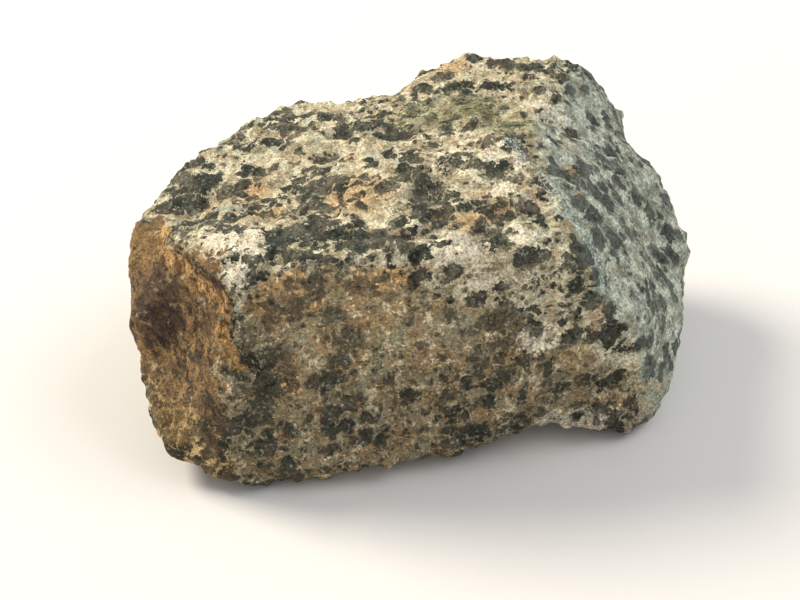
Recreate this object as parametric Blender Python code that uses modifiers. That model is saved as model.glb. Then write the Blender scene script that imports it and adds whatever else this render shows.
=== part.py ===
"""A broken hand specimen of norite, lying on its underside as it would on a table.

Metres, +Z up. +X runs along the stone's length, -Y is its broad front face, and the origin is
the middle of its bounding box, at the surface it lies on.

The stone is one natural piece, so it is one solid. It starts as the convex block that its
corners span. The block gets even faces and worn edges, its hollows are pressed in and its
swellings raised along their own directions, broken rock's unevenness is added, and the
underside is worn flat where it rests.
"""

import bmesh
import bpy
from mathutils import Vector, noise
from mathutils.bvhtree import BVHTree

# The finished stone's length along X, in metres.
LENGTH = 0.080

# Everything below is in millimetres, on a stone about as long as the finished one. The last step
# brings it to LENGTH.
FACE_SIDE = 1.9
ROUND_SHARE = 0.5  # how far one round of wear takes a point towards its neighbours' middle
SPACING_ROUNDS = 6
WEAR_ROUNDS = 5

STONE = "norite_stone"
COLLECTION = "norite"
STONE_COLOUR = (0.30, 0.27, 0.22, 1.0)
STONE_ROUGHNESS = 0.8

# Corners of the block.
TOP_RIM = {
    "west_corner": (-40.7, -5.3, 28.8),
    "west_rim": (-38.0, 2.0, 29.5),
    "northwest_rim": (-31.0, 11.5, 30.3),
    "north_rim": (-19.5, 25.5, 31.5),
    "north_peak": (6.5, 30.2, 37.6),
    "north_notch": (19.0, 26.0, 37.5),
    "northeast_peak": (24.0, 29.8, 37.0),
    "ridge_back": (18.0, 16.0, 38.0),
    "ridge_crown": (14.5, 2.0, 38.5),
    "ridge_bend": (16.0, -6.5, 37.0),
    "ridge_fall": (18.0, -12.5, 33.5),
    "front_crest": (5.0, -18.5, 33.5),
    "front_arch": (-11.5, -20.5, 34.0),
    "southwest_corner": (-23.5, -22.0, 30.5),
}
RIGHT_FLANK = {
    "northeast_shoulder": (28.0, 27.0, 33.0),
    "northeast_nub": (32.0, 26.0, 28.5),
    "east_rim": (35.5, 17.0, 24.0),
    "east_shoulder": (38.5, 11.5, 21.0),
    "east_point": (41.0, 8.0, 17.0),
    "east_cheek": (40.0, 3.0, 13.0),
    "southeast_cheek": (38.0, -4.0, 6.0),
    "southeast_shoulder": (29.5, -16.5, 19.0),
    "southeast_ridge": (22.0, -17.0, 28.0),
}
LEFT_END = {
    "west_lip": (-39.5, -8.0, 25.5),
    "west_face": (-39.0, -14.0, 21.0),
    "west_belly": (-39.0, -16.5, 14.0),
    "west_toe": (-36.8, -22.0, 5.0),
    "southwest_heel": (-35.0, -25.0, 3.0),
}
UNDERSIDE = {
    "southwest_foot": (-29.5, -29.0, 1.5),
    "front_left_foot": (-22.5, -29.3, 0.4),
    "front_foot": (1.0, -22.4, 0.0),
    "southeast_foot": (31.5, -17.8, 0.0),
    "southeast_toe": (36.0, -13.0, 2.0),
    "east_foot": (33.0, 6.0, 0.0),
    "northeast_foot": (24.0, 21.0, 0.0),
    "north_foot": (-14.0, 20.0, 0.0),
    "northwest_foot": (-31.0, 4.0, 1.5),
}
BACK = {
    "northeast_waist": (30.0, 25.0, 14.0),
    "north_waist": (8.0, 31.0, 19.0),
    "north_hip": (-14.0, 26.0, 12.0),
    "northwest_waist": (-33.0, 10.0, 18.0),
}

# Where the stone departs from the block: centre, reach and push, each along X, Y and Z. A push is
# full at its centre and fades to nothing at its reach.
HOLLOWS = {
    "north_dip": ((-6.5, 28.0, 34.0), (13.0, 18.0, 12.0), (0.0, -1.0, -2.7)),
    "east_notch": ((34.0, 22.0, 26.0), (5.0, 7.0, 7.0), (-1.6, -0.6, -1.2)),
    "underside_arch": ((15.5, -20.0, 0.0), (15.0, 12.0, 8.0), (0.0, 1.3, 2.4)),
    "front_undercut": ((-6.0, -25.0, 0.0), (13.0, 9.0, 4.0), (0.0, 1.0, 1.3)),
    "left_end_scoop": ((-32.5, -18.5, 18.5), (7.5, 8.0, 11.0), (1.9, 3.0, 0.0)),
    "front_scallop": ((-9.0, -24.0, 21.0), (20.0, 10.0, 14.0), (0.0, 1.5, 0.2)),
    "top_scoop": ((-31.0, -3.0, 30.5), (7.5, 6.0, 6.0), (0.3, 0.2, -1.5)),
    "top_pit": ((3.0, -7.0, 36.0), (5.5, 5.0, 5.0), (0.0, 0.3, -1.3)),
    "right_flank_hollow": ((33.0, 2.0, 20.0), (10.0, 13.0, 12.0), (-1.6, 0.5, -1.2)),
    "back_scallop": ((20.0, 28.0, 20.0), (13.0, 10.0, 13.0), (0.0, -3.2, 0.5)),
    "back_break": ((-12.0, 26.0, 24.0), (16.0, 10.0, 9.0), (0.6, -2.4, 1.0)),
    "underside_hollow": ((2.0, 4.0, 0.0), (20.0, 14.0, 6.0), (0.0, 0.0, 1.6)),
}
SWELLINGS = {
    "white_corner": ((-24.5, -17.0, 31.5), (6.0, 6.0, 5.0), (-0.2, -0.4, 1.3)),
    "front_belly": ((8.0, -20.5, 12.0), (18.0, 8.0, 10.0), (0.0, -0.9, 0.0)),
    "west_swelling": ((-34.0, -21.0, 8.0), (8.0, 8.0, 8.0), (-0.3, -0.8, 0.4)),
    "crown": ((13.0, 2.0, 38.5), (9.0, 12.0, 6.0), (0.2, 0.0, 0.9)),
}

# Unevenness of the broken faces: the breadth of each kind of swell, and the most that it moves
# the surface.
SWELLS = ((16.0, 1.3), (6.5, 0.7))
SWELL_START = Vector((3.1, 7.7, 1.9))


def clear_scene():
    for leftover in list(bpy.data.objects):
        bpy.data.objects.remove(leftover, do_unlink=True)


def make_block():
    """The convex block that the corners span."""
    block = bmesh.new()
    for group in (TOP_RIM, RIGHT_FLANK, LEFT_END, UNDERSIDE, BACK):
        for place in group.values():
            block.verts.new(place)
    bmesh.ops.convex_hull(block, input=block.verts)
    inner = [vert for vert in block.verts if not vert.link_faces]
    bmesh.ops.delete(block, geom=inner, context="VERTS")
    return block


def apply_modifiers(stone):
    """Swaps the object's mesh for what its modifiers make of it."""
    graph = bpy.context.evaluated_depsgraph_get()
    made = bpy.data.meshes.new_from_object(stone.evaluated_get(graph))
    old = stone.data
    stone.modifiers.clear()
    stone.data = made
    bpy.data.meshes.remove(old)
    made.name = STONE


def relax(stone, name, rounds):
    """Draws every point towards its neighbours' middle."""
    smooth = stone.modifiers.new(name, "SMOOTH")
    smooth.factor = ROUND_SHARE
    smooth.iterations = rounds


def make_stone(block, collection):
    """The block as an object with even faces and worn edges."""
    mesh = bpy.data.meshes.new(STONE)
    block.to_mesh(mesh)
    stone = bpy.data.objects.new(STONE, mesh)
    collection.objects.link(stone)
    even = stone.modifiers.new("Even faces", "REMESH")
    even.mode = "VOXEL"
    even.voxel_size = FACE_SIDE
    relax(stone, "Even spacing", SPACING_ROUNDS)
    apply_modifiers(stone)
    sides = BVHTree.FromBMesh(block)
    for vert in stone.data.vertices:
        vert.co = sides.find_nearest(vert.co)[0]
    relax(stone, "Worn edges", WEAR_ROUNDS)
    apply_modifiers(stone)
    return stone


def press(place, centre, reach, push):
    """How far a hollow or swelling moves the point at place."""
    offset = Vector((place[axis] - centre[axis]) / reach[axis] for axis in range(3))
    share = max(0.0, 1.0 - offset.length_squared)
    return Vector(push) * share**2


def shape_faces(stone):
    """Presses in the hollows, raises the swellings and makes the faces uneven."""
    features = [*HOLLOWS.values(), *SWELLINGS.values()]
    normals = [vert.normal.copy() for vert in stone.data.vertices]
    for vert, normal in zip(stone.data.vertices, normals):
        place = vert.co.copy()
        moved = sum((press(place, *feature) for feature in features), Vector())
        for breadth, most in SWELLS:
            moved += normal * most * noise.noise(place / breadth + SWELL_START)
        vert.co = place + moved


def set_down(stone):
    """Wears the underside flat where it rests, brings the stone to its length in metres and puts
    the origin under the middle of its box."""
    points = [vert.co.copy() for vert in stone.data.vertices]
    low = Vector(min(point[axis] for point in points) for axis in range(3))
    high = Vector(max(point[axis] for point in points) for axis in range(3))
    scale = LENGTH / (high.x - low.x)
    middle = (low + high) / 2
    for vert in stone.data.vertices:
        height = max(vert.co.z, 0.0)
        vert.co = Vector((vert.co.x - middle.x, vert.co.y - middle.y, height)) * scale


def stone_material():
    material = bpy.data.materials.new(STONE)
    material.use_nodes = True
    shader = material.node_tree.nodes["Principled BSDF"]
    shader.inputs["Base Color"].default_value = STONE_COLOUR
    shader.inputs["Roughness"].default_value = STONE_ROUGHNESS
    shader.inputs["Metallic"].default_value = 0.0
    return material


def main():
    clear_scene()
    collection = bpy.data.collections.new(COLLECTION)
    bpy.context.scene.collection.children.link(collection)
    block = make_block()
    stone = make_stone(block, collection)
    block.free()
    shape_faces(stone)
    set_down(stone)
    stone.data.materials.append(stone_material())
    stone.data.shade_smooth()


main()
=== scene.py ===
"""The visible norite stone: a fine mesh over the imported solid, its minerals and its stains.

Lengths in the tables and patterns below are millimetres in the row frame; the mesh is in metres.
"""

import math

import bmesh
import bpy
import numpy as np
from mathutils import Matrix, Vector


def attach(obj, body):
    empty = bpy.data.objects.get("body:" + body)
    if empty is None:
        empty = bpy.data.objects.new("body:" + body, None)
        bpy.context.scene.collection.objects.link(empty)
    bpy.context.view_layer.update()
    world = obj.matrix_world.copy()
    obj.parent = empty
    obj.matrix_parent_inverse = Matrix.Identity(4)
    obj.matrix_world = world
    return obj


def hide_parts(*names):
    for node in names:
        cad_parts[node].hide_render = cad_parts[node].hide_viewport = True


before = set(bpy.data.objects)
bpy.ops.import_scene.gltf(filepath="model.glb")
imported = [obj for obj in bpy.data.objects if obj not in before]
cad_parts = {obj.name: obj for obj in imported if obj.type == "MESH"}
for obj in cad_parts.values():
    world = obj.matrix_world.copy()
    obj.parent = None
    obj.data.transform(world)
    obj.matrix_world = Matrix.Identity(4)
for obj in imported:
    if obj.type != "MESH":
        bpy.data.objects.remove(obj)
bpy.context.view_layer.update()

NODE = "norite_stone"
PIECE = "norite_rock"
MM = 0.001

# The camera stands where the photograph was taken from.
CAMERA_PLACE = (-0.00312, -0.14396, 0.12086)
CAMERA_PITCH = 37.42  # degrees below the horizon
LENS = 55.0  # on a 36 mm wide sensor

# The normal of the plane in which the grains lie flattened, and how much thinner they are across
# it.
FOLIATION = Vector((0.26, -0.87, -0.42)).normalized()
FLATTENING = 1.35
# The lines along which the right-hand flank is smeared and the left end's rust runs. Distances
# along a line are multiplied by its stretch, so a stretch below 1 draws the patterns out.
FLANK_GRAIN = Vector((0.50, -0.35, -0.79)).normalized()
FLANK_STRETCH = 0.92
RUST_GRAIN = Vector((0.50, -0.66, -0.56)).normalized()
RUST_STRETCH = 0.25

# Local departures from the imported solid: centre, reach and push, each along X, Y and Z.
TOUCHES = {
    "white_knob": ((-22.5, -19.0, 32.5), (5.0, 4.0, 3.0), (0.0, 0.0, 0.9)),
    "top_step": ((-27.0, -4.5, 30.0), (4.5, 5.0, 4.0), (0.0, 0.0, 0.9)),
    "pit": ((0.0, -9.0, 35.0), (4.0, 3.5, 3.0), (0.0, 0.0, -1.0)),
    "pit_rim": ((5.5, -8.0, 35.5), (3.5, 3.5, 3.0), (0.0, 0.0, 0.7)),
    "orange_knob": ((10.0, -11.5, 34.9), (3.5, 3.0, 3.0), (0.0, -0.2, 0.6)),
    "dark_knob": ((17.0, -9.0, 34.6), (4.0, 4.0, 3.5), (0.5, -0.2, 0.5)),
    "east_nub": ((32.0, 24.5, 29.0), (2.4, 3.2, 2.4), (1.0, 0.3, 0.7)),
}

# Edges along which a flake has come off: points along the edge, the side that the flake was on, how
# far that side lies back, and how far from the edge the hollow goes.
BREAKS = {
    "west_ledge": (
        ((-33.5, -11.5, 29.5), (-31.5, -14.3, 29.5), (-30.0, -16.8, 29.4), (-28.0, -19.2, 29.6),
         (-26.0, -21.5, 29.4), (-24.6, -23.3, 28.2), (-24.2, -24.5, 26.0), (-24.6, -25.2, 22.5)),
        (-0.86, -0.05, -0.50), (1.5, 0.9, 0.2), 9.0,
    ),
    "front_scar": (
        ((-24.5, -24.0, 26.0), (-21.5, -22.5, 30.0), (-16.5, -20.5, 32.2), (-9.5, -20.0, 32.6),
         (-3.5, -20.5, 31.5), (1.0, -21.0, 28.5)),
        (0.2, -0.3, -0.93), (0.0, 0.9, 0.1), 12.0,
    ),
    "ridge_scar": (
        ((13.5, -3.5, 37.6), (16.2, -6.0, 36.6), (17.6, -9.5, 35.2), (21.0, -12.5, 32.4),
         (24.0, -16.0, 27.5)),
        (0.85, 0.2, 0.3), (-0.5, -0.1, -0.7), 9.0,
    ),
    "top_scar": (
        ((-21.0, -10.0, 31.8), (-14.0, -12.5, 33.4), (-7.0, -14.0, 34.6), (-1.0, -14.5, 34.9)),
        (0.1, 1.0, 0.1), (0.0, 0.1, -0.6), 7.0,
    ),
    "crown_scar": (
        ((-2.0, 9.0, 34.8), (5.0, 8.0, 36.4), (12.0, 8.5, 38.0), (19.0, 10.5, 37.0)),
        (0.0, -1.0, 0.0), (0.0, 0.0, -0.7), 8.0,
    ),
}

# Where pale veins cross the surface by the right-hand ridge, and the side on which distances from
# them count as positive.
RIDGE_VEIN = (
    (13.7, -3.7, 37.3), (15.3, -6.1, 36.6), (16.7, -8.1, 35.7), (17.6, -10.7, 34.4),
    (19.1, -12.7, 33.1), (21.4, -13.8, 31.1), (22.7, -15.5, 28.8),
)
VEIN_SIDE = (0.74, 0.65, -0.15)

# The upper edge of the browner front face, from left to right.
FRONT_EDGE = (
    (-24.5, -24.5, 25.0), (-21.5, -22.5, 30.0), (-16.5, -20.5, 32.2), (-9.5, -20.0, 32.6),
    (-3.5, -20.5, 31.5), (0.5, -21.0, 28.5), (5.0, -20.5, 26.0), (12.0, -19.8, 24.0),
    (20.0, -19.0, 19.0), (28.0, -17.0, 12.0), (36.0, -12.0, 6.0),
)

# Places where the surface differs: a list of (centre, reach) for each kind.
PATCHES = {
    "white": [
        ((-25.0, -16.5, 32.0), (6.6, 5.2, 3.8)),
        ((-24.0, -21.0, 31.0), (3.4, 3.0, 3.6)),
        ((4.0, -18.8, 32.5), (4.2, 3.4, 4.4)),
        ((7.5, -19.4, 28.5), (3.4, 2.5, 3.6)),
        ((10.8, -3.3, 37.3), (4.0, 2.8, 2.3)),
        ((15.0, -19.7, 19.5), (4.5, 3.0, 3.0)),
        ((19.0, 11.0, 36.4), (5.5, 3.0, 3.0)),
        ((10.5, -9.0, 35.6), (2.4, 2.0, 2.0)),
        ((20.5, -19.0, 4.5), (8.0, 4.0, 3.6)),
        ((12.0, -15.6, 33.2), (2.6, 1.8, 1.8)),
    ],
    "pale": [
        ((-25.8, 5.7, 31.4), (8.0, 3.5, 3.5)),
        ((-17.0, 5.0, 33.4), (9.0, 3.5, 3.5)),
        ((-8.0, -2.5, 34.5), (8.0, 3.5, 3.0)),
        ((-19.0, -19.5, 31.5), (3.5, 3.0, 3.0)),
        ((5.0, 22.0, 37.2), (11.0, 7.0, 3.5)),
        ((18.5, -11.0, 34.0), (4.5, 4.5, 4.5)),
        ((6.0, -18.5, 31.5), (6.0, 3.0, 5.0)),
    ],
    "orange": [
        ((9.3, -12.2, 34.6), (2.8, 2.2, 2.4)),
        ((5.8, -14.2, 34.2), (3.4, 2.6, 2.4)),
        ((-9.0, -8.5, 34.4), (6.0, 5.0, 3.0)),
        ((-24.5, -2.8, 30.5), (5.0, 4.2, 3.0)),
        ((-21.0, -9.0, 31.8), (3.5, 2.4, 2.4)),
        ((-5.0, -21.5, 29.8), (6.0, 3.0, 2.8)),
        ((-16.8, -23.0, 28.5), (7.5, 3.5, 4.0)),
        ((11.5, -20.4, 17.5), (2.2, 2.5, 4.5)),
        ((-17.5, -25.0, 15.5), (3.0, 3.0, 2.5)),
        ((3.0, 24.0, 37.2), (5.0, 4.0, 2.5)),
    ],
    "dark": [
        ((-32.0, -1.8, 29.0), (3.2, 2.6, 2.2)),
        ((-30.3, 1.1, 30.0), (3.2, 2.0, 2.0)),
        ((-15.5, -15.2, 33.2), (6.5, 2.4, 2.4)),
        ((-6.5, -17.2, 34.2), (7.5, 1.8, 2.0)),
        ((0.8, -8.1, 35.0), (3.0, 2.8, 2.2)),
        ((0.4, -13.0, 35.1), (3.4, 2.8, 2.2)),
        ((-11.8, -4.4, 34.0), (1.5, 1.4, 1.4)),
        ((15.7, -9.1, 35.7), (2.4, 2.0, 1.9)),
        ((12.6, -7.6, 36.3), (2.4, 1.2, 1.5)),
        ((9.6, -16.3, 32.7), (3.0, 2.2, 2.4)),
        ((12.7, -17.8, 31.0), (2.2, 1.5, 1.8)),
        ((3.8, -19.8, 30.6), (1.6, 1.6, 1.6)),
        ((-26.9, -18.0, 31.5), (1.7, 1.5, 1.4)),
        ((-20.5, -25.0, 18.5), (5.0, 3.4, 8.5)),
        ((4.5, -3.5, 36.2), (3.6, 2.2, 2.0)),
        ((9.5, -6.4, 36.7), (2.6, 1.4, 1.6)),
        ((-0.5, -22.6, 20.2), (1.5, 1.5, 1.2)),
    ],
    "green": [
        ((4.0, 11.0, 36.4), (13.0, 5.0, 4.0)),
        ((12.0, 5.0, 38.0), (7.0, 4.0, 3.0)),
    ],
    # Painted shade: the hollow under the left end's ledge.
    "hollow": [
        ((-34.8, -15.7, 21.5), (4.2, 5.0, 7.5)),
    ],
    "ochre": [
        ((-37.5, -7.5, 27.0), (5.0, 5.0, 3.5)),
        ((-33.0, -25.0, 9.5), (4.0, 4.0, 4.0)),
    ],
}

SUBDIVISIONS = 2
# How far the surface faces left where the left end starts, and where it is in full.
FACING = (0.35, 0.75)

# The relief of the broken faces. The flank and the left end have only a share of it.
LUMP_HEIGHT = 2.6
CHIP_HEIGHT = 2.9
CHIP_FLATTENING = 1.8
PALE_GRAIN_HEIGHT = -0.10
DARK_GRAIN_HEIGHT = 0.14
SMOOTH_FACE_SHARE = 0.5

# How much thinner the greenish streaks are across the foliation.
STREAK_FLATTENING = 5.0
# The ridge's veins: each one's distance from the stored line, and its half width.
VEINS = ((0.0, 0.22), (0.8, 0.12))
SHEEN = 0.3

# Where two of the wide patterns start, so that they differ from the others.
OTHER_START = (50.0, 20.0, 80.0)
THIRD_START = (-30.0, 70.0, 10.0)

HALF = (0.5, 0.5, 0.5)
UP = (0.0, 0.0, 1.0)
# These take one random number each from a cell's three.
FIRST = (1.0, 0.0, 0.0)
SECOND = (0.0, 1.0, 0.0)


def rgb(*colour):
    return (*colour, 1.0)


# Pale grains on the top,
TAN = rgb(0.42, 0.345, 0.21)
CREAM = rgb(0.81, 0.73, 0.51)
PINK = rgb(0.66, 0.49, 0.30)
GREY_GREEN = rgb(0.50, 0.50, 0.37)
ORANGE = rgb(0.64, 0.42, 0.20)
WHITE = rgb(0.92, 0.82, 0.62)
# on the dusty front,
DUSTY_TAN = rgb(0.32, 0.26, 0.15)
DUSTY_BROWN = rgb(0.37, 0.25, 0.125)
DUSTY_GREEN = rgb(0.31, 0.275, 0.175)
DUSTY_CREAM = rgb(0.62, 0.51, 0.33)
DUSTY_ORANGE = rgb(0.54, 0.34, 0.15)
DUSTY_WHITE = rgb(0.80, 0.72, 0.54)
# and on the right-hand flank.
COOL_GREY = rgb(0.27, 0.34, 0.29)
COOL_CREAM = rgb(0.61, 0.645, 0.53)
COOL_WHITE = rgb(0.72, 0.74, 0.66)
# Dark grains.
BLACK = rgb(0.011, 0.013, 0.009)
GREEN_BLACK = rgb(0.070, 0.080, 0.052)
BROWN_BLACK = rgb(0.060, 0.050, 0.036)
GREY_FLECK = rgb(0.17, 0.175, 0.14)
FLANK_BLACK = rgb(0.085, 0.105, 0.088)
DUSTY_BLACK = rgb(0.045, 0.037, 0.024)
# Streaks, rust and veins; the painted shade in the hollow under the left end's ledge and the
# painted shadow line along its edge; and the rusty rim under the ledge, painted lighter as though
# lit.
STREAK_GREEN = rgb(0.07, 0.085, 0.055)
STREAK_OCHRE = rgb(0.46, 0.43, 0.20)
CRUST_DARK = rgb(0.040, 0.026, 0.018)
CRUST_ORANGE = rgb(0.34, 0.19, 0.075)
CRUST_BROWN = rgb(0.17, 0.105, 0.050)
RUST_TINT = rgb(1.0, 0.76, 0.47)
OCHRE = rgb(0.50, 0.30, 0.10)
HOLLOW_SHADE = rgb(0.055, 0.040, 0.036)
LIT_RIM_BROWN = rgb(0.16, 0.08, 0.03)
LIT_RIM_ORANGE = rgb(0.66, 0.39, 0.15)
LEDGE_SHADOW = rgb(0.03, 0.02, 0.013)
VEIN_HALO = rgb(0.13, 0.20, 0.17)
VEIN = rgb(0.64, 0.73, 0.66)

FLOOR_SIDE = 16.0
FLOOR_COLOUR = rgb(0.78, 0.75, 0.72)
SKY_COLOUR = rgb(0.97, 0.98, 1.0)
SKY_STRENGTH = 0.55


def stone_mesh():
    """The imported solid's mesh, welded and mostly in four-sided faces."""
    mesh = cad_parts[NODE].data.copy()
    shape = bmesh.new()
    shape.from_mesh(mesh)
    bmesh.ops.remove_doubles(shape, verts=shape.verts, dist=1e-6)
    bmesh.ops.join_triangles(
        shape,
        faces=shape.faces,
        angle_face_threshold=math.pi,
        angle_shape_threshold=math.pi,
    )
    shape.to_mesh(mesh)
    shape.free()
    mesh.materials.clear()
    return mesh


def apply_modifiers(stone):
    """Swaps the stone's mesh for what its modifiers make of it."""
    graph = bpy.context.evaluated_depsgraph_get()
    made = bpy.data.meshes.new_from_object(stone.evaluated_get(graph))
    stone.modifiers.clear()
    old, stone.data = stone.data, made
    bpy.data.meshes.remove(old)


def places_and_normals(mesh):
    """The mesh's points in millimetres, and their normals."""
    places = np.empty(len(mesh.vertices) * 3)
    mesh.vertices.foreach_get("co", places)
    normals = np.empty(len(mesh.vertices) * 3)
    mesh.vertex_normals.foreach_get("vector", normals)
    return places.reshape(-1, 3) / MM, normals.reshape(-1, 3)


def nearness(places, centre, reach):
    """1 at the centre, falling to 0 at its reach."""
    offset = (places - np.array(centre)) / np.array(reach)
    return np.clip(1.0 - (offset**2).sum(1), 0.0, 1.0)


def rise(value, start, end):
    """0 before start, 1 after end, and smooth in between."""
    share = np.clip((value - start) / (end - start), 0.0, 1.0)
    return share * share * (3.0 - 2.0 * share)


def from_line(places, line):
    """The offset of each place from the nearest point of the line."""
    offsets = np.full(places.shape, np.inf)
    for start, end in zip(line, line[1:]):
        start, along = np.array(start), np.subtract(end, start)
        share = np.clip((places - start) @ along / (along @ along), 0.0, 1.0)
        offset = places - start - share[:, None] * along
        nearer = (offset**2).sum(1) < (offsets**2).sum(1)
        offsets[nearer] = offset[nearer]
    return offsets


def sculpt(mesh):
    """Makes the local departures and breaks away the flakes."""
    places, _ = places_and_normals(mesh)
    moved = np.zeros_like(places)
    for centre, reach, push in TOUCHES.values():
        moved += nearness(places, centre, reach)[:, None] ** 2 * np.array(push)
    for line, side, push, width in BREAKS.values():
        offsets = from_line(places, line)
        beyond = rise(offsets @ np.array(side), -0.3, 0.7)
        fade = 1.0 - rise(np.linalg.norm(offsets, axis=1), 0.25 * width, width)
        moved += (beyond * fade)[:, None] * np.array(push)
    mesh.vertices.foreach_set("co", ((places + moved) * MM).ravel())
    mesh.update()


def mark(mesh):
    """Stores the regions and patches as attributes of the points, from 0 to 1, and the offsets
    from the ledge and the veins in millimetres."""
    places, normals = places_and_normals(mesh)
    x, y, z = places.T
    below = from_line(places, FRONT_EDGE) @ np.array((0.0, -0.3, -0.95))
    line, side = BREAKS["west_ledge"][:2]
    ledge = from_line(places, line)
    vein = from_line(places, RIDGE_VEIN)
    facing = rise(-normals[:, 0], *FACING) * rise(-x, 20.0, 27.0)
    under = rise(ledge @ np.array(side), 0.0, 1.2)
    under *= rise(-x, 24.0, 28.0) * rise(-z, -29.5, -27.5)
    left = np.maximum(facing, under) * rise(-y, 2.0, 8.0)
    front = rise(below, -0.6, 1.4) * rise(-normals[:, 1], 0.1, 0.4)
    fading = 1.0 - 0.55 * rise(x, 20.0, 32.0)
    marks = {
        "front": front * (1.0 - left) * fading,
        "flank": rise(normals[:, 0], 0.25, 0.6),
        "end": left,
        "rust": left * (0.12 + 0.88 * rise(z, 9.0, 17.0)),
        "ledge": np.clip(ledge @ np.array(side), -9.0, 9.0),
        "by_ledge": 1.0 - rise(np.linalg.norm(ledge, axis=1), 2.5, 5.5),
        "vein": np.clip(vein @ np.array(VEIN_SIDE), -9.0, 9.0),
        "by_vein": 1.0 - rise(np.linalg.norm(vein, axis=1), 2.0, 5.0),
    }
    for kind, patches in PATCHES.items():
        marks[kind] = np.max([nearness(places, *patch) for patch in patches], axis=0)
    for name, values in marks.items():
        attribute = mesh.attributes.new(name, "FLOAT", "POINT")
        attribute.data.foreach_set("value", values.astype(np.float32))


class Nodes:
    """Adds nodes to a tree. An input is a number, a vector or another node's output."""

    def __init__(self, tree):
        self.tree = tree

    def add(self, kind, inputs=None, **settings):
        node = self.tree.nodes.new(kind)
        for name, value in settings.items():
            setattr(node, name, value)
        for key, value in (inputs or {}).items():
            self.put(node.inputs[key], value)
        return node

    def put(self, socket, value):
        if isinstance(value, bpy.types.NodeSocket):
            self.tree.links.new(value, socket)
        else:
            socket.default_value = value

    def math(self, operation, *values):
        node = self.add("ShaderNodeMath", operation=operation)
        for socket, value in zip(node.inputs, values):
            self.put(socket, value)
        return node.outputs[0]

    def chain(self, operation, values):
        result = values[0]
        for value in values[1:]:
            result = self.math(operation, result, value)
        return result

    def total(self, *values):
        return self.chain("ADD", values)

    def times(self, *values):
        return self.chain("MULTIPLY", values)

    def swing(self, pattern, amount):
        """The amount times how far the pattern is above its middle value."""
        return self.times(self.math("SUBTRACT", pattern, 0.5), amount)

    def vector(self, operation, *values):
        node = self.add("ShaderNodeVectorMath", operation=operation)
        for socket, value in zip(node.inputs, values):
            self.put(socket, value)
        return node.outputs["Value" if operation == "DOT_PRODUCT" else "Vector"]

    def scale(self, vector, factor):
        node = self.add("ShaderNodeVectorMath", {0: vector, "Scale": factor}, operation="SCALE")
        return node.outputs["Vector"]

    def noise(self, place, scale, detail=2.0, roughness=0.5, output=0):
        inputs = {"Vector": place, "Scale": scale, "Detail": detail, "Roughness": roughness}
        return self.add("ShaderNodeTexNoise", inputs).outputs[output]

    def cells(self, place, scale):
        return self.add("ShaderNodeTexVoronoi", {"Vector": place, "Scale": scale}).outputs

    def rise(self, value, start, end):
        inputs = {"Value": value, "From Min": start, "From Max": end}
        node = self.add("ShaderNodeMapRange", inputs, interpolation_type="SMOOTHSTEP")
        return node.outputs["Result"]

    def between(self, share, low, high):
        """A number from low at share 0 to high at share 1."""
        inputs = {"Value": share, "To Min": low, "To Max": high}
        return self.add("ShaderNodeMapRange", inputs).outputs["Result"]

    def mix(self, share, first, second, blend="MIX"):
        node = self.add("ShaderNodeMix", data_type="RGBA", blend_type=blend)
        for index, value in ((0, share), (6, first), (7, second)):
            self.put(node.inputs[index], value)
        return node.outputs[2]

    def shade(self, colour, brightness):
        """The colour times a brightness."""
        return self.mix(1.0, colour, self.scale((1.0, 1.0, 1.0), brightness), "MULTIPLY")

    def ragged(self, place, scale, shift):
        """The place, shifted unevenly by up to about shift."""
        wander = self.vector("SUBTRACT", self.noise(place, scale, 3.0, 0.6, "Color"), HALF)
        return self.vector("ADD", place, self.scale(wander, shift))

    def along(self, place, direction, factor):
        """The place, its distance along the direction multiplied, which makes patterns shorter."""
        distance = self.vector("DOT_PRODUCT", place, direction)
        change = self.times(distance, self.math("SUBTRACT", factor, 1.0))
        return self.vector("ADD", place, self.scale(direction, change))

    def grains(self, place, scale, least, most):
        """Millimetres inside a rounded grain's edge. The grains' radii lie between least and most
        spacings."""
        cell = self.cells(place, scale)
        luck = self.vector("DOT_PRODUCT", cell["Color"], FIRST)
        inside = self.math("SUBTRACT", self.between(luck, least, most), cell["Distance"])
        return self.math("DIVIDE", inside, scale)

    def dark_minerals(self, place, flank):
        """Millimetres inside the edge of a dark grain, below 0 in the pale ones."""
        place = self.ragged(place, 0.55, 2.4)
        place = self.ragged(place, 2.2, 0.55)
        insides = []
        for direction, factor in ((FOLIATION, FLATTENING), (FLANK_GRAIN, FLANK_STRETCH)):
            drawn = self.along(place, direction, factor)
            large = self.grains(drawn, 0.38, 0.0, 0.80)
            small = self.grains(drawn, 0.8, -0.15, 0.62)
            insides.append(self.math("MAXIMUM", large, small))
        broken, smeared = insides
        return self.total(broken, self.times(self.math("SUBTRACT", smeared, broken), flank))


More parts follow.
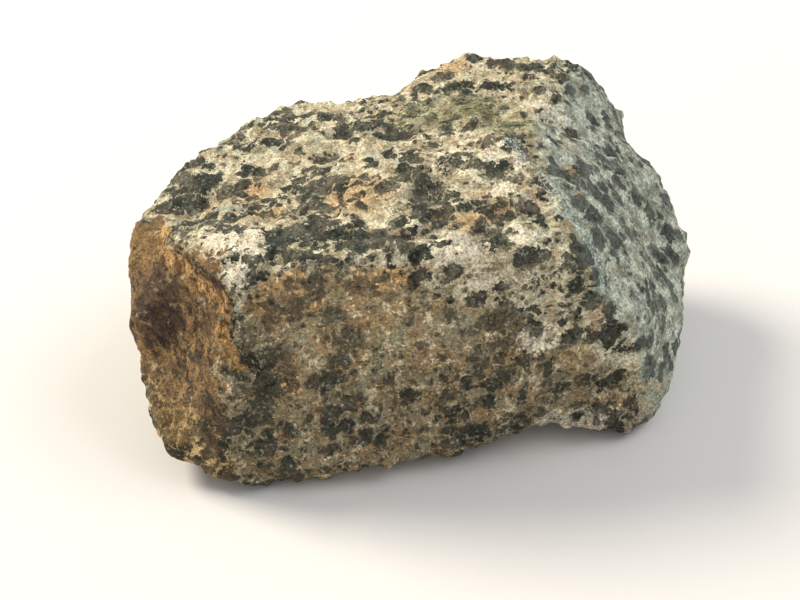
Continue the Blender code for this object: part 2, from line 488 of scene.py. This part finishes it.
def add_relief(stone):
    """Roughens the broken faces, with the dark grains a little proud of the pale ones."""
    tree = bpy.data.node_groups.new("broken_relief", "GeometryNodeTree")
    tree.interface.new_socket("Geometry", in_out="INPUT", socket_type="NodeSocketGeometry")
    tree.interface.new_socket("Geometry", in_out="OUTPUT", socket_type="NodeSocketGeometry")
    nodes = Nodes(tree)

    def stored(name):
        kind = "GeometryNodeInputNamedAttribute"
        return nodes.add(kind, {"Name": name}, data_type="FLOAT").outputs["Attribute"]

    source = nodes.add("NodeGroupInput")
    result = nodes.add("NodeGroupOutput")
    place = nodes.scale(nodes.add("GeometryNodeInputPosition").outputs[0], 1.0 / MM)
    normal = nodes.add("GeometryNodeInputNormal").outputs[0]
    flank, end = stored("flank"), stored("end")
    lumps = nodes.noise(place, 0.16, 3.0, 0.55)
    flaked = nodes.along(nodes.ragged(place, 0.4, 2.5), FOLIATION, CHIP_FLATTENING)
    chips = nodes.noise(flaked, 0.34, 3.0, 0.5)
    dark = nodes.rise(nodes.dark_minerals(place, flank), -0.4, 0.6)
    height = nodes.total(
        nodes.swing(lumps, LUMP_HEIGHT),
        nodes.swing(chips, CHIP_HEIGHT),
        nodes.between(dark, PALE_GRAIN_HEIGHT, DARK_GRAIN_HEIGHT),
    )
    calm = nodes.between(nodes.math("MAXIMUM", flank, end), 1.0, SMOOTH_FACE_SHARE)
    shift = nodes.scale(normal, nodes.times(height, calm, MM))
    moved = nodes.add("GeometryNodeSetPosition", {"Geometry": source.outputs[0], "Offset": shift})
    tree.links.new(moved.outputs[0], result.inputs[0])
    stone.modifiers.new("Broken relief", "NODES").node_group = tree


def settle(mesh):
    """Keeps the underside on the surface that the stone rests on."""
    places, _ = places_and_normals(mesh)
    places[:, 2] = np.maximum(places[:, 2], 0.0)
    mesh.vertices.foreach_set("co", (places * MM).ravel())
    mesh.update()


def make_stone():
    stone = bpy.data.objects.new(PIECE, stone_mesh())
    bpy.context.scene.collection.objects.link(stone)
    fine = stone.modifiers.new("Fine faces", "SUBSURF")
    fine.levels = fine.render_levels = SUBDIVISIONS
    apply_modifiers(stone)
    sculpt(stone.data)
    mark(stone.data)
    add_relief(stone)
    apply_modifiers(stone)
    settle(stone.data)
    stone.data.shade_smooth()
    return stone


class Minerals(Nodes):
    """The nodes of the stone's material, with the patterns and regions that its colours share."""

    def __init__(self, tree):
        super().__init__(tree)
        self.place = self.scale(self.add("ShaderNodeTexCoord").outputs["Object"], 1.0 / MM)
        self.wide = self.noise(self.place, 0.11, 2.0)
        self.middle = self.noise(self.place, 0.5, 3.0, 0.6)
        self.other = self.noise(self.vector("ADD", self.place, OTHER_START), 0.32, 3.0, 0.6)
        self.third = self.noise(self.vector("ADD", self.place, THIRD_START), 0.28, 3.0, 0.65)
        self.fine = self.noise(self.place, 2.0, 3.0, 0.7)
        self.grit = self.noise(self.place, 4.5, 3.0, 0.8)
        crystal = self.cells(self.ragged(self.place, 3.0, 0.35), 3.0)["Color"]
        self.luck = self.vector("DOT_PRODUCT", crystal, FIRST)
        self.spark = self.vector("DOT_PRODUCT", crystal, SECOND)
        strands = self.along(self.ragged(self.place, 0.4, 2.2), RUST_GRAIN, RUST_STRETCH)
        self.strands = self.noise(strands, 1.0, 4.0, 0.7)
        self.uneven = self.total(self.swing(self.middle, 3.4), self.swing(self.fine, 1.6))
        self.bend = self.total(self.swing(self.middle, 3.0), self.swing(self.fine, 1.0))
        self.high = self.rise(self.vector("DOT_PRODUCT", self.place, UP), 10.0, 26.0)
        self.white = self.patch("white", 0.2, 0.7)
        self.orange = self.patch("orange", 0.1, 0.9)
        self.front, self.flank = self.patch("front", 0.3, 0.7), self.patch("flank", 0.2, 0.8)
        self.rust, self.end = self.patch("rust", 0.2, 0.8), self.patch("end", 0.2, 0.8)
        self.dark = self.dark_areas()

    def stored(self, name):
        return self.add("ShaderNodeAttribute", attribute_name=name).outputs["Fac"]

    def patch(self, name, start, end):
        """A stored region with an uneven edge."""
        stored = self.stored(name)
        edge = self.times(self.uneven, self.rise(stored, 0.0, 0.35))
        return self.rise(self.total(stored, edge), start, end)

    def dark_areas(self):
        """1 in the dark grains and 0 in the pale ones."""
        inside = self.total(
            self.dark_minerals(self.place, self.stored("flank")),
            self.swing(self.fine, 1.5),
            self.swing(self.wide, 2.4),
            self.times(self.white, -0.6),
            self.times(self.patch("dark", 0.15, 0.7), 0.8),
            self.times(self.patch("pale", 0.1, 0.6), -0.32),
            self.times(self.front, -0.10),
            self.times(self.flank, -0.22),
            self.times(self.math("SUBTRACT", self.end, self.rust), 0.45),
            -0.02,
        )
        softness = self.between(self.math("MAXIMUM", self.front, self.flank), 0.10, 0.25)
        areas = self.rise(inside, self.times(softness, -1.0), softness)
        specks = self.grains(self.ragged(self.place, 1.6, 0.8), 1.1, -0.25, 0.50)
        specked = self.times(self.math("MAXIMUM", self.front, self.end), 0.8)
        return self.math("MAXIMUM", areas, self.times(self.rise(specks, -0.06, 0.10), specked))

    def pale_grains(self):
        cream = self.mix(self.rise(self.middle, 0.38, 0.62), TAN, CREAM)
        cream = self.mix(self.rise(self.other, 0.54, 0.70), cream, PINK)
        cream = self.mix(self.rise(self.third, 0.57, 0.68), cream, GREY_GREEN)
        cream = self.mix(self.times(self.orange, 0.8), cream, ORANGE)
        cream = self.mix(self.times(self.white, 0.8), cream, WHITE)
        dusty = self.mix(self.rise(self.other, 0.42, 0.60), DUSTY_TAN, DUSTY_BROWN)
        dusty = self.mix(self.rise(self.third, 0.48, 0.62), dusty, DUSTY_GREEN)
        dusty = self.mix(self.rise(self.middle, 0.53, 0.63), dusty, DUSTY_CREAM)
        dusty = self.mix(self.times(self.orange, 0.7), dusty, DUSTY_ORANGE)
        dusty = self.mix(self.times(self.white, 0.8), dusty, DUSTY_WHITE)
        # Painted shade and light: the front's colours are darker low down and brighter high up.
        dusty = self.shade(dusty, self.between(self.high, 0.90, 1.30))
        cool = self.mix(self.rise(self.middle, 0.42, 0.62), COOL_GREY, COOL_CREAM)
        cool = self.mix(self.times(self.white, 0.7), cool, COOL_WHITE)
        return self.mix(self.front, self.mix(self.times(self.flank, 0.8), cream, cool), dusty)

    def dark_grains(self):
        black = self.mix(self.rise(self.fine, 0.35, 0.7), BLACK, GREEN_BLACK)
        black = self.mix(self.rise(self.other, 0.5, 0.65), black, BROWN_BLACK)
        black = self.mix(self.rise(self.spark, 0.90, 0.95), black, GREY_FLECK)
        black = self.mix(self.times(self.flank, 0.70), black, FLANK_BLACK)
        return self.mix(self.times(self.front, 0.35), black, DUSTY_BLACK)

    def grained(self):
        """The two kinds of grain together. The dark ones are fainter here and there."""
        strength = self.between(self.rise(self.third, 0.35, 0.6), 0.80, 1.0)
        faint = self.between(self.front, 1.0, self.between(self.high, 1.0, 0.8))
        strength = self.times(strength, faint)
        return self.mix(self.times(self.dark, strength), self.pale_grains(), self.dark_grains())

    def streaked(self, stone):
        """Streaks along the foliation, greenish and ochre."""
        sheets = self.along(self.ragged(self.place, 0.35, 2.5), FOLIATION, STREAK_FLATTENING)
        sheets = self.rise(self.noise(sheets, 0.45, 3.0, 0.6), 0.42, 0.56)
        streak = self.mix(sheets, STREAK_GREEN, STREAK_OCHRE)
        return self.mix(self.times(self.patch("green", 0.1, 0.7), 0.5), stone, streak)

    def rusted(self, stone):
        """The stained and rusty left end, with painted shade in the hollow under its ledge."""
        crust = self.mix(self.rise(self.strands, 0.42, 0.58), CRUST_DARK, CRUST_ORANGE)
        crust = self.mix(self.rise(self.other, 0.48, 0.62), crust, CRUST_BROWN)
        stained = self.mix(1.0, stone, RUST_TINT, "MULTIPLY")
        stone = self.mix(self.times(self.end, 0.85), stone, stained)
        stone = self.mix(self.times(self.rust, 0.9), stone, crust)
        stone = self.mix(self.times(self.patch("ochre", 0.2, 0.6), 0.3), stone, OCHRE)
        # Painted shade: the hollow under the ledge is darkened to a near-black brown.
        return self.mix(self.times(self.patch("hollow", 0.1, 0.7), 0.62), stone, HOLLOW_SHADE)

    def ledged(self, stone):
        """A painted shadow line along the ledge's edge, and under it a rusty rim with painted
        light.
        """
        gap = self.total(self.stored("ledge"), self.bend)
        near = self.patch("by_ledge", 0.2, 0.6)
        # Painted light: the rusty rim under the ledge is coloured lighter, as though lit.
        band = self.times(self.rise(gap, 0.2, 0.6), self.rise(gap, 3.0, 1.6))
        lit = self.mix(self.rise(self.strands, 0.42, 0.56), LIT_RIM_BROWN, LIT_RIM_ORANGE)
        stone = self.mix(self.times(band, near, 0.8), stone, lit)
        # Painted shadow: a thin dark line along the ledge's overhanging edge.
        shadow_line = self.rise(self.math("ABSOLUTE", gap), 0.40, 0.12)
        return self.mix(self.times(shadow_line, near, 0.7), stone, LEDGE_SHADOW)

    def veined(self, stone):
        """Pale blue-green veins along the right-hand ridge."""
        gap = self.total(self.stored("vein"), self.bend)
        near = self.patch("by_vein", 0.2, 0.6)
        halo = self.rise(self.math("ABSOLUTE", gap), 1.3, 0.3)
        stone = self.mix(self.times(halo, near, 0.3), stone, VEIN_HALO)
        for shift, width in VEINS:
            line = self.rise(self.math("ABSOLUTE", self.total(gap, shift)), width, 0.3 * width)
            line = self.times(line, near, self.rise(self.fine, 0.36, 0.50))
            stone = self.mix(self.times(line, 0.85), stone, VEIN)
        return stone

    def sugary_and_pit_shade(self, stone):
        """The crystals of every grain differ in brightness, with some bright ones, and painted
        shade darkens the fine pits.
        """
        stone = self.shade(stone, self.between(self.luck, 0.68, 1.32))
        bright = self.between(self.front, 1.15, 1.7)
        stone = self.shade(stone, self.between(self.rise(self.spark, 0.82, 0.92), 1.0, bright))
        stone = self.shade(stone, self.between(self.rise(self.grit, 0.30, 0.70), 0.60, 1.38))
        # Painted shade in the pits: where the fine pattern, which also sinks the bump, is low, the
        # colour is darker.
        return self.shade(stone, self.between(self.rise(self.fine, 0.28, 0.50), 0.62, 1.06))

    def roughness(self):
        glint = self.times(self.rise(self.spark, 0.90, 0.95), -0.38)
        return self.total(self.between(self.dark, 0.85, 0.62), glint)

    def normal(self):
        height = self.total(
            self.times(self.fine, 0.42),
            self.times(self.grit, 0.22),
            self.times(self.dark, 0.10),
            self.times(self.luck, 0.06),
        )
        inputs = {"Height": height, "Strength": 1.0, "Distance": MM}
        return self.add("ShaderNodeBump", inputs).outputs["Normal"]


def stone_material():
    material = bpy.data.materials.new("norite_minerals")
    material.use_nodes = True
    minerals = Minerals(material.node_tree)
    shader = material.node_tree.nodes["Principled BSDF"]
    stone = minerals.rusted(minerals.streaked(minerals.grained()))
    stone = minerals.sugary_and_pit_shade(minerals.veined(minerals.ledged(stone)))
    minerals.put(shader.inputs["Base Color"], stone)
    minerals.put(shader.inputs["Roughness"], minerals.roughness())
    minerals.put(shader.inputs["Normal"], minerals.normal())
    shader.inputs["Specular IOR Level"].default_value = SHEEN
    return material


def make_floor():
    bpy.ops.mesh.primitive_plane_add(size=FLOOR_SIDE, location=(0.0, 0.0, 0.0))
    floor = bpy.context.object
    floor.name = "floor"
    material = bpy.data.materials.new("pale_floor")
    material.use_nodes = True
    shader = material.node_tree.nodes["Principled BSDF"]
    shader.inputs["Base Color"].default_value = FLOOR_COLOUR
    shader.inputs["Roughness"].default_value = 0.9
    floor.data.materials.append(material)


def area_light(name, place, size, power, colour):
    data = bpy.data.lights.new(name, "AREA")
    data.shape = "DISK"
    data.size = size
    data.energy = power
    data.color = colour
    lamp = bpy.data.objects.new(name, data)
    lamp.location = place
    lamp.rotation_euler = (-Vector(place)).to_track_quat("-Z", "Y").to_euler()
    bpy.context.scene.collection.objects.link(lamp)


def light_scene():
    area_light("key", (-1.15, 0.62, 1.15), 0.70, 32.0, (1.0, 0.93, 0.79))
    area_light("fill", (1.10, 0.10, 1.40), 1.20, 11.0, (0.92, 0.97, 1.0))
    world = bpy.data.worlds.new("soft_sky")
    world.use_nodes = True
    sky = world.node_tree.nodes["Background"]
    sky.inputs["Color"].default_value = SKY_COLOUR
    sky.inputs["Strength"].default_value = SKY_STRENGTH
    bpy.context.scene.world = world
    bpy.context.scene.view_settings.view_transform = "Standard"


def place_camera():
    data = bpy.data.cameras.new("camera")
    data.lens = LENS
    data.clip_start = 0.005
    camera = bpy.data.objects.new("camera", data)
    camera.location = CAMERA_PLACE
    camera.rotation_euler = (math.radians(90.0 - CAMERA_PITCH), 0.0, 0.0)
    bpy.context.scene.collection.objects.link(camera)
    bpy.context.scene.camera = camera


stone = make_stone()
stone.data.materials.append(stone_material())
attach(stone, "root")
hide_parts(NODE)
make_floor()
light_scene()
place_camera()
